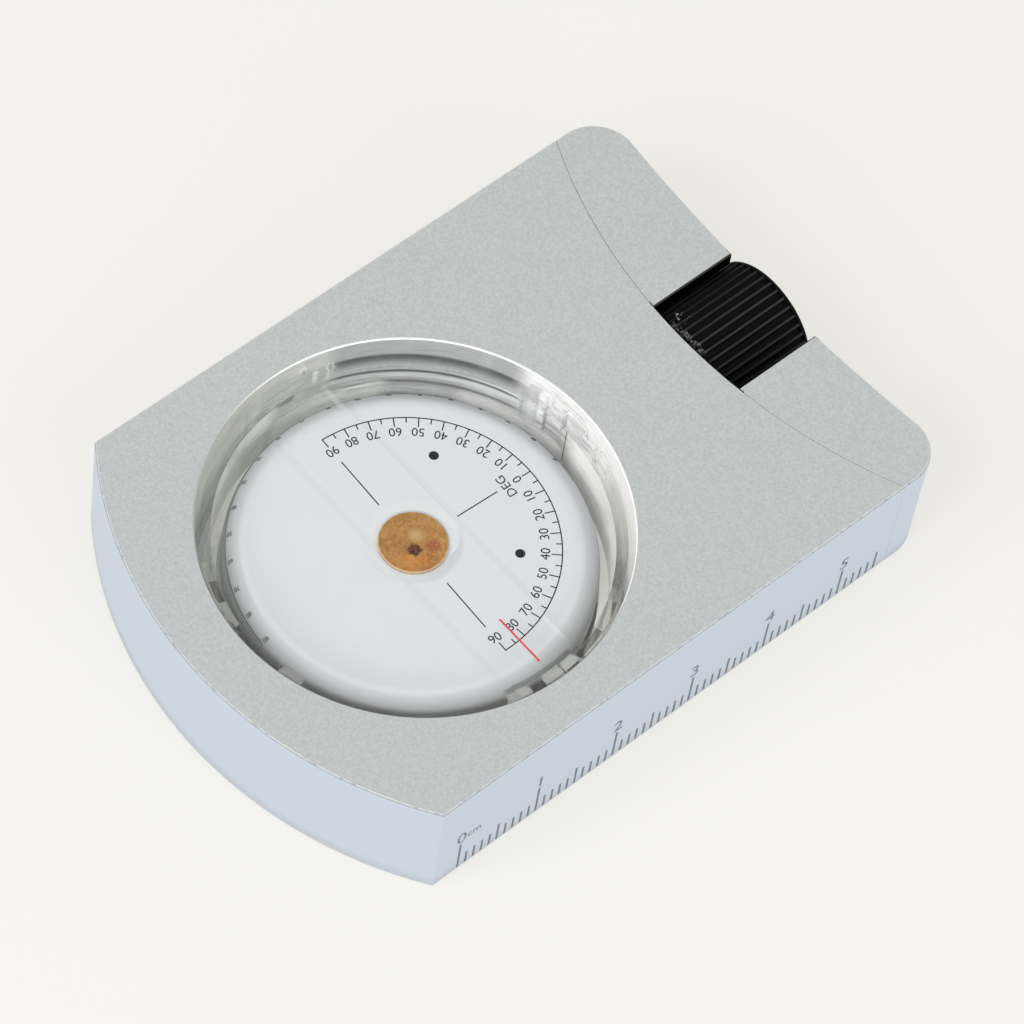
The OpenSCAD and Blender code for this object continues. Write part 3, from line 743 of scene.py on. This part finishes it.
def black_plastic():
    """Black moulded plastic, with painted highlights on the ribs' crests and a paler grey patch at
    the top of the front.
    """
    f = Finish("black_plastic")
    grain = f.noise(6000.0, detail=3.0)
    x, y, z = f.split(f.place)
    out = (y**2 + (z - RING_Z) ** 2) ** 0.5
    # Painted highlight: the ribs' crests are lighter than the grooves, less so on one side, and
    # streaked.
    rib = f.step(out, RING_R - 0.16 * MM, RING_R - 0.01 * MM)
    rib = rib * (1 - f.step(y, -1.0 * MM, 3.5 * MM) * 0.6) * x.below(RING_END - 0.45 * MM)
    paler = f.noise(900.0, detail=2.0, stretch=(0.15, 1.0, 1.0))
    colour = f.blend(rib * (0.25 + paler * 0.8), grey(0.0022), (0.035, 0.036, 0.039, 1.0))
    crumb = f.noise(2200.0, detail=3.0, roughness=0.7)
    # A paler grey patch at the top of the front.
    pale_front = f.between(y, -2.0 * MM, 2.8 * MM, 0.3 * MM) * x.below(RING_X + 0.48 * MM)
    pale_front = pale_front * z.above(RING_Z + 3.0 * MM) * f.step(crumb, 0.44, 0.56)
    colour = f.blend(pale_front * 0.8, colour, grey(0.16))
    speck = f.between(y, 1.8 * MM, 3.6 * MM, 0.2 * MM)
    speck = speck * f.between(x - RING_X, 1.1 * MM, 1.9 * MM, 0.2 * MM)
    colour = f.blend(speck * f.step(crumb, 0.6, 0.66), colour, grey(0.6))
    return f.done(
        Base_Color=colour,
        Roughness=0.42 + grain * 0.2,
        Normal=f.bump(grain, 0.2, 0.03 * MM),
        Specular_IOR_Level=0.06,
    )


def amber_resin():
    """Cloudy amber resin with patches of colour round the pivot's dark tip.

    Each patch has its place from the pivot and its inner and outer radius, in millimetres, then
    its share and colour.
    """
    f = Finish("amber_resin")
    patch = f.noise(700.0, detail=4.0, roughness=0.6)
    fleck = f.noise(3000.0, detail=4.0, roughness=0.75)
    stir = (fleck - 0.5) * 1.3 * MM + (patch - 0.5) * 1.2 * MM
    colour = f.blend(f.step(patch, 0.35, 0.65), (0.235, 0.104, 0.020, 1), (0.335, 0.168, 0.045, 1))
    for right, up, inner, outer, share, shade in (
        (0.7, 0.4, 0.2, 1.1, 0.6, (0.50, 0.34, 0.17, 1.0)),
        (-1.8, -1.5, 0.3, 1.5, 0.75, (0.43, 0.165, 0.028, 1.0)),
        (-0.7, -2.1, 0.2, 1.2, 0.75, (0.40, 0.13, 0.018, 1.0)),
        (1.25, -1.45, 0.4, 1.15, 0.95, (0.26, 0.075, 0.022, 1.0)),
        (-1.2, -0.2, 0.1, 0.8, 0.8, (0.26, 0.085, 0.025, 1.0)),
        (0.2, -2.0, 0.1, 0.8, 0.85, (0.28, 0.095, 0.02, 1.0)),
    ):
        centre = (PIVOT.x + right * MM, PIVOT.y + up * MM)
        colour = f.blend(f.spot(centre, inner * MM, outer * MM, stir) * share, colour, shade)
    tip = f.spot((PIVOT.x - 0.45 * MM, PIVOT.y - 0.78 * MM), 0.5 * MM, 0.85 * MM, stir * 0.55)
    soot = f.blend(f.step(fleck, 0.4, 0.6), (0.02, 0.005, 0.001, 1.0), (0.12, 0.035, 0.006, 1.0))
    colour = f.blend(f.step(fleck, 0.5, 0.62) * 0.55, colour, (0.43, 0.25, 0.09, 1.0))
    colour = f.blend((1 - f.step(fleck, 0.36, 0.46)) * 0.6, colour, (0.20, 0.078, 0.018, 1.0))
    colour = f.blend(tip, colour, soot)
    rim = f.step(f.reach(WINDOW), BUSH_R - 0.16 * MM, BUSH_R - 0.04 * MM)
    colour = f.blend(rim * 0.5, colour, (0.62, 0.52, 0.38, 1.0))
    normal = f.bump(patch, 0.3, 0.3 * MM)
    return f.done(Base_Color=colour, Roughness=0.3, Normal=normal, Specular_IOR_Level=0.2)


def red_ink():
    """Red paint in the index groove, thin towards the groove's sides."""
    f = Finish("red_ink")
    fade = f.noise(1400.0, detail=2.0)
    side = abs(f.split(f.place)[0] - INDEX_X)
    thin = f.step(side + (fade - 0.5) * 0.05 * MM, 0.07 * MM, 0.12 * MM)
    f.cover_with("BsdfTransparent", thin * 0.85, WHITE)
    return f.done(
        Base_Color=f.blend(fade, (0.46, 0.025, 0.04, 1.0), (0.56, 0.045, 0.065, 1.0)),
        Roughness=0.5,
    )


def seal_rubber():
    """Thin pale seals, which let most of what is behind them through."""
    f = Finish("seal_rubber")
    patch = f.noise(900.0, detail=3.0)
    f.cover_with("BsdfTransparent", 0.72 + patch * 0.16, WHITE)
    return f.done(
        Base_Color=f.blend(patch, (0.40, 0.405, 0.38, 1.0), (0.48, 0.485, 0.455, 1.0)),
        Roughness=0.6,
    )


def faint_ink():
    """Thin black line on clear plastic."""
    f = Finish("faint_ink")
    fade = f.noise(1800.0, detail=2.0)
    f.cover_with("BsdfTransparent", 0.3 + fade * 0.4, WHITE)
    return f.done(Base_Color=f.blend(fade, grey(0.01), grey(0.03)), Roughness=0.6)


def plain(name, dark, light, scale, rough, metallic=0.0, specular=0.5):
    """A finish that varies softly between two colours, with fine grain."""
    f = Finish(name)
    patch = f.noise(scale, detail=3.0)
    grain = f.noise(scale * 8.0, detail=2.0)
    return f.done(
        Base_Color=f.blend(patch, dark, light),
        Roughness=rough + (grain - 0.5) * 0.1,
        Metallic=metallic,
        Normal=f.bump(grain, 0.1, 0.02 * MM),
        Specular_IOR_Level=specular,
    )


def make_materials():
    """Every finish of the object, by name."""
    return {
        "aluminium": blasted_aluminium(),
        "cover": clear_cover(),
        "glass": lens_glass(),
        "card": card_plastic(),
        "black": black_plastic(),
        "amber": amber_resin(),
        "steel": plain("steel", grey(0.45), grey(0.62), 900.0, 0.28, 1.0),
        "brass": plain("brass", (0.55, 0.38, 0.14, 1), (0.72, 0.52, 0.24, 1), 700.0, 0.35, 1.0),
        "seal": seal_rubber(),
        "plug": plain("white_plastic", grey(0.66), grey(0.74), 900.0, 0.5),
        "dark_metal": plain("black_anodised", grey(0.02), grey(0.04), 1500.0, 0.4, 0.3),
        "ink": plain("black_ink", grey(0.004), grey(0.012), 2500.0, 0.6, specular=0.1),
        "faint": faint_ink(),
        "red": red_ink(),
        "marking": plain("ruler_ink", (0.07, 0.078, 0.095, 1), (0.15, 0.16, 0.18, 1), 3000.0, 0.5),
        "ruby": plain("ruby", (0.25, 0.01, 0.02, 1), (0.4, 0.03, 0.05, 1), 900.0, 0.15),
    }


FINISHES = make_materials()


# Pieces


class CLINOMETER_OT_body(bpy.types.Operator):
    """Finish the metal body, its rear blocks and their dowels"""

    bl_idname = "clinometer.body"
    bl_label = "Metal body"

    def execute(self, context):
        for node in ("housing", "plain_block", "ruled_block"):
            wear(node, FINISHES["aluminium"])
        wear("block_dowels", FINISHES["steel"])
        return {"FINISHED"}


class CLINOMETER_OT_capsule(bpy.types.Operator):
    """Finish the clear capsule and what seals and carries it"""

    bl_idname = "clinometer.capsule"
    bl_label = "Capsule"

    def execute(self, context):
        for node in ("capsule_cup", "capsule_cover"):
            wear(node, FINISHES["cover"])
            # Clear plastic keeps no light from the card
            NODES[node].visible_shadow = False
            NODES[node].visible_diffuse = False
        wear("cushion_ring", FINISHES["seal"])
        wear("cover_seal", FINISHES["seal"])
        wear("fill_plug", FINISHES["plug"])
        wear("pivot_pin", FINISHES["steel"])
        return {"FINISHED"}


class CLINOMETER_OT_card(bpy.types.Operator):
    """Finish the card with its bush, jewel, weight and rivets"""

    bl_idname = "clinometer.card"
    bl_label = "Card"

    def execute(self, context):
        wear("card", FINISHES["card"])
        wear("bush", FINISHES["amber"])
        wear("end_stone", FINISHES["ruby"])
        wear("counterweight", FINISHES["brass"])
        wear("weight_rivets", FINISHES["ink"])
        return {"FINISHED"}


class CLINOMETER_OT_degree_scale(bpy.types.Operator):
    """Print the degree scale on the card's face"""

    bl_idname = "clinometer.degree_scale"
    bl_label = "Degree scale"

    def execute(self, context):
        sizes = context.scene.clinometer_scales
        zero = math.radians(sizes.zero_turn)
        ring, line, ink = sizes.ring_r * MM, sizes.line_w * MM, sizes.print_t * MM
        base = CARD_TOP - ink / 2
        bm = bmesh.new()

        def stroke(angle, r_in, r_out):
            turn = Matrix.Translation((PIVOT.x, PIVOT.y, 0)) @ Matrix.Rotation(angle, 4, "Z")
            add_block(bm, (r_in, -line / 2, base), (r_out, line / 2, base + ink), turn)

        for mark in range(-90, 91, 5):
            length = (sizes.long_tick if mark % 10 == 0 else sizes.short_tick) * MM
            stroke(zero + math.radians(mark), ring - length, ring)
        for mark, r_in, r_out in HUB_LINES:
            stroke(zero + math.radians(mark), r_in * MM, r_out * MM)
        self.add_arc(bm, ring, line, base, ink, zero)
        for mark in range(-90, 91, 10):
            text = add_text(bm, str(abs(mark)), sizes.digit_h * MM, ink)
            place = on_card(zero + math.radians(mark), sizes.digit_at * MM, base + ink / 2)
            bmesh.ops.transform(bm, matrix=place, verts=text)
        text = add_text(bm, "DEG", sizes.digit_h * MM, ink)
        place = on_card(zero, sizes.unit_at * MM, base + ink / 2)
        bmesh.ops.transform(bm, matrix=place, verts=text)
        piece("degree_scale", bm, FINISHES["ink"], "card_unit")
        return {"FINISHED"}

    def add_arc(self, bm, ring, line, base, ink, zero):
        """Adds the half ring that joins the ticks."""
        turn = Matrix.Rotation(zero - math.radians(90), 4, "Z")
        start = Matrix.Translation((PIVOT.x, PIVOT.y, 0)) @ turn
        corners = (
            (ring - line, 0, base),
            (ring, 0, base),
            (ring, 0, base + ink),
            (ring - line, 0, base + ink),
        )
        sweep_half(bm, [start @ Vector(c) for c in corners])


class CLINOMETER_OT_rim_scale(bpy.types.Operator):
    """Print the fine scale on the card's rounded rim, which the eyepiece looks at"""

    bl_idname = "clinometer.rim_scale"
    bl_label = "Rim scale"

    def execute(self, context):
        sizes = context.scene.clinometer_scales
        zero = math.radians(sizes.zero_turn)
        ink = sizes.print_t * MM
        half = sizes.rim_line_w * MM / 2
        round_r = CARD_R - FLAT_R
        digit_u = round_r * math.radians(sizes.rim_digit_at)
        ring_u = round_r * math.radians(sizes.rim_ring_at)
        scale_r = FLAT_R + round_r * math.sin(math.radians(sizes.rim_digit_at))
        bm = bmesh.new()
        for mark in range(181):
            along = math.radians(mark) * scale_r
            length = mark_size(mark, *RIM_MARKS)
            add_block(bm, (ring_u, along - half, -ink), (ring_u + length, along + half, ink / 2))
            if mark % 10 == 0:
                text = add_text(bm, str(abs(90 - mark)), sizes.rim_digit_h * MM, ink)
                bmesh.ops.translate(bm, vec=(digit_u, along, 0.0), verts=text)
        for cut in STRIPS:
            bmesh.ops.bisect_plane(
                bm,
                geom=[*bm.verts, *bm.edges, *bm.faces],
                dist=WELD,
                plane_co=(cut * STRIP_W * MM, 0.0, 0.0),
                plane_no=(1.0, 0.0, 0.0),
            )
        for v in bm.verts:
            v.co = self.on_rim(v.co, round_r, scale_r, zero)
        sides = ((-half, -ink), (half, -ink), (half, ink / 2), (-half, ink / 2))
        corners = [Vector((ring_u + u, 0.0, rise)) for u, rise in sides]
        sweep_half(bm, [self.on_rim(c, round_r, scale_r, zero) for c in corners])
        piece("rim_scale", bm, FINISHES["ink"], "card_unit")
        return {"FINISHED"}

    def on_rim(self, flat, round_r, scale_r, zero):
        """Wraps a flat place round the rim: x down the rim, y round it, z off its surface."""
        lean = min(flat.x / round_r, math.pi / 2)
        out = FLAT_R + (round_r + flat.z) * math.sin(lean)
        height = CARD_TOP - round_r + (round_r + flat.z) * math.cos(lean)
        height -= max(flat.x - round_r * math.pi / 2, 0.0)
        turn = zero + flat.y / scale_r
        return Vector((PIVOT.x + out * math.cos(turn), PIVOT.y + out * math.sin(turn), height))


class CLINOMETER_OT_ruler(bpy.types.Operator):
    """Mark the ruler on the long edge"""

    bl_idname = "clinometer.ruler"
    bl_label = "Ruler"

    def execute(self, context):
        sizes = context.scene.clinometer_scales
        ink = sizes.print_t * MM
        half = sizes.ruler_line_w * MM / 2
        digit_h = sizes.ruler_digit_h * MM
        middle = RULER_DIGITS_Z * MM + digit_h / 2
        bm = bmesh.new()

        def write(words, height, x, z):
            text = add_text(bm, words, height, ink)
            stand = Matrix.Rotation(math.radians(90), 4, "X")
            place = Matrix.Translation((x, EDGE_Y, z)) @ stand
            bmesh.ops.transform(bm, matrix=place, verts=text)

        for mark in range(sizes.ruler_length + 1):
            x = (sizes.ruler_zero + mark) * MM
            low = (x - half, EDGE_Y - ink / 2, RULER_FOOT * MM)
            high = (x + half, EDGE_Y + ink / 2, mark_size(mark, *RULER_MARKS))
            add_block(bm, low, high)
            if mark % 10 == 0:
                write(str(mark // 10), digit_h, x, middle)
        right, up = RULER_UNIT_AT
        write("cm", RULER_UNIT_H * MM, (sizes.ruler_zero + right) * MM, up * MM)
        piece("ruler_marks", bm, FINISHES["marking"], "body")
        return {"FINISHED"}


class CLINOMETER_OT_lines(bpy.types.Operator):
    """Finish the index line and the sighting line"""

    bl_idname = "clinometer.lines"
    bl_label = "Index lines"

    def execute(self, context):
        wear("index_line", FINISHES["red"])
        wear("sight_line", FINISHES["faint"])
        return {"FINISHED"}


class CLINOMETER_OT_eyepiece(bpy.types.Operator):
    """Finish the eyepiece"""

    bl_idname = "clinometer.eyepiece"
    bl_label = "Eyepiece"

    def execute(self, context):
        for node in ("focus_ring", "ring_clip"):
            wear(node, FINISHES["black"])
        for node in ("sleeve", "lens_cell", "lens_ring", "field_stop"):
            wear(node, FINISHES["dark_metal"])
        for node in ("key_pin", "stop_screw"):
            wear(node, FINISHES["steel"])
        wear("eye_lens", FINISHES["glass"])
        return {"FINISHED"}


class CLINOMETER_OT_stage(bpy.types.Operator):
    """Set the floor, the lamps, the world and the camera"""

    bl_idname = "clinometer.stage"
    bl_label = "Stage"

    def execute(self, context):
        view = context.scene.clinometer_view
        context.scene.view_settings.view_transform = "Standard"
        self.add_floor()
        for lamp in LAMPS:
            self.add_lamp(*lamp)
        self.add_world()
        self.add_camera(view)
        return {"FINISHED"}

    def add_floor(self):
        """Adds a plain pale floor."""
        bm = bmesh.new()
        bmesh.ops.create_grid(bm, x_segments=1, y_segments=1, size=3.0)
        mesh = bpy.data.meshes.new("floor")
        bm.to_mesh(mesh)
        bm.free()
        floor = bpy.data.objects.new("floor", mesh)
        bpy.context.scene.collection.objects.link(floor)
        f = Finish("floor")
        f.done(Base_Color=grey(0.88), Roughness=0.9)
        f.cover_with("Emission", rays(f.tree, *SEEN) * FLOOR_SHARE, FLOOR_SHOWN)
        mesh.materials.append(f.material)

    def add_lamp(self, name, place, size, power, colour):
        """Adds a square lamp that faces the object and doesn't show in its gloss."""
        lamp = bpy.data.lights.new(name, "AREA")
        lamp.size = size
        lamp.energy = power
        lamp.color = colour
        holder = bpy.data.objects.new(name, lamp)
        holder.visible_glossy = False
        holder.location = place
        holder.rotation_mode = "QUATERNION"
        holder.rotation_quaternion = (-Vector(place)).to_track_quat("-Z", "Y")
        bpy.context.scene.collection.objects.link(holder)

    def add_world(self):
        """Adds an even sky, a little weaker on the object than where it is seen."""
        world = bpy.data.worlds.new("studio")
        bpy.context.scene.world = world
        world.use_nodes = True
        tree = world.node_tree
        tree.nodes.clear()
        mix = tree.nodes.new("ShaderNodeMixShader")
        tree.links.new(rays(tree, *SEEN).socket, mix.inputs[0])
        for place, strength in ((1, SKY_ON_OBJECT), (2, SKY_SEEN)):
            background = tree.nodes.new("ShaderNodeBackground")
            background.inputs["Color"].default_value = PALE
            background.inputs["Strength"].default_value = strength
            tree.links.new(background.outputs[0], mix.inputs[place])
        output = tree.nodes.new("ShaderNodeOutputWorld")
        tree.links.new(mix.outputs[0], output.inputs["Surface"])

    def add_camera(self, view):
        """Adds the camera at its place and makes it the scene's own."""
        camera = bpy.data.cameras.new("camera")
        camera.lens = view.lens
        camera.sensor_width = 36.0
        camera.clip_start = 0.01
        camera.clip_end = 10.0
        holder = bpy.data.objects.new("camera", camera)
        azimuth, elevation = math.radians(view.azimuth), math.radians(view.elevation)
        back = Vector(
            (
                math.sin(azimuth) * math.cos(elevation),
                -math.cos(azimuth) * math.cos(elevation),
                math.sin(elevation),
            )
        )
        holder.rotation_mode = "QUATERNION"
        level = (-back).to_track_quat("-Z", "Y")
        roll = Matrix.Rotation(math.radians(view.roll), 4, "Z").to_quaternion()
        holder.rotation_quaternion = level @ roll
        holder.location = view.place
        bpy.context.scene.collection.objects.link(holder)
        bpy.context.scene.camera = holder


class CLINOMETER_PT_pieces(bpy.types.Panel):
    """Lists the steps that finish the clinometer"""

    bl_label = "Clinometer"
    bl_space_type = "VIEW_3D"
    bl_region_type = "UI"
    bl_category = "Clinometer"

    def draw(self, context):
        for step in STEPS:
            self.layout.operator(step.bl_idname)


STEPS = (
    CLINOMETER_OT_stage,
    CLINOMETER_OT_body,
    CLINOMETER_OT_capsule,
    CLINOMETER_OT_card,
    CLINOMETER_OT_degree_scale,
    CLINOMETER_OT_rim_scale,
    CLINOMETER_OT_ruler,
    CLINOMETER_OT_lines,
    CLINOMETER_OT_eyepiece,
)
CLASSES = (ScaleSizes, StageView, *STEPS, CLINOMETER_PT_pieces)


def register():
    """Adds the classes and their sizes to Blender."""
    for entry in CLASSES:
        bpy.utils.register_class(entry)
    bpy.types.Scene.clinometer_scales = bpy.props.PointerProperty(type=ScaleSizes)
    bpy.types.Scene.clinometer_view = bpy.props.PointerProperty(type=StageView)


def unregister():
    """Takes the classes and their sizes out of Blender again."""
    del bpy.types.Scene.clinometer_view
    del bpy.types.Scene.clinometer_scales
    for entry in reversed(CLASSES):
        bpy.utils.unregister_class(entry)


def main():
    """Runs every step in order."""
    register()
    for step in STEPS:
        group, name = step.bl_idname.split(".")
        getattr(getattr(bpy.ops, group), name)()


if __name__ == "__main__":
    main()
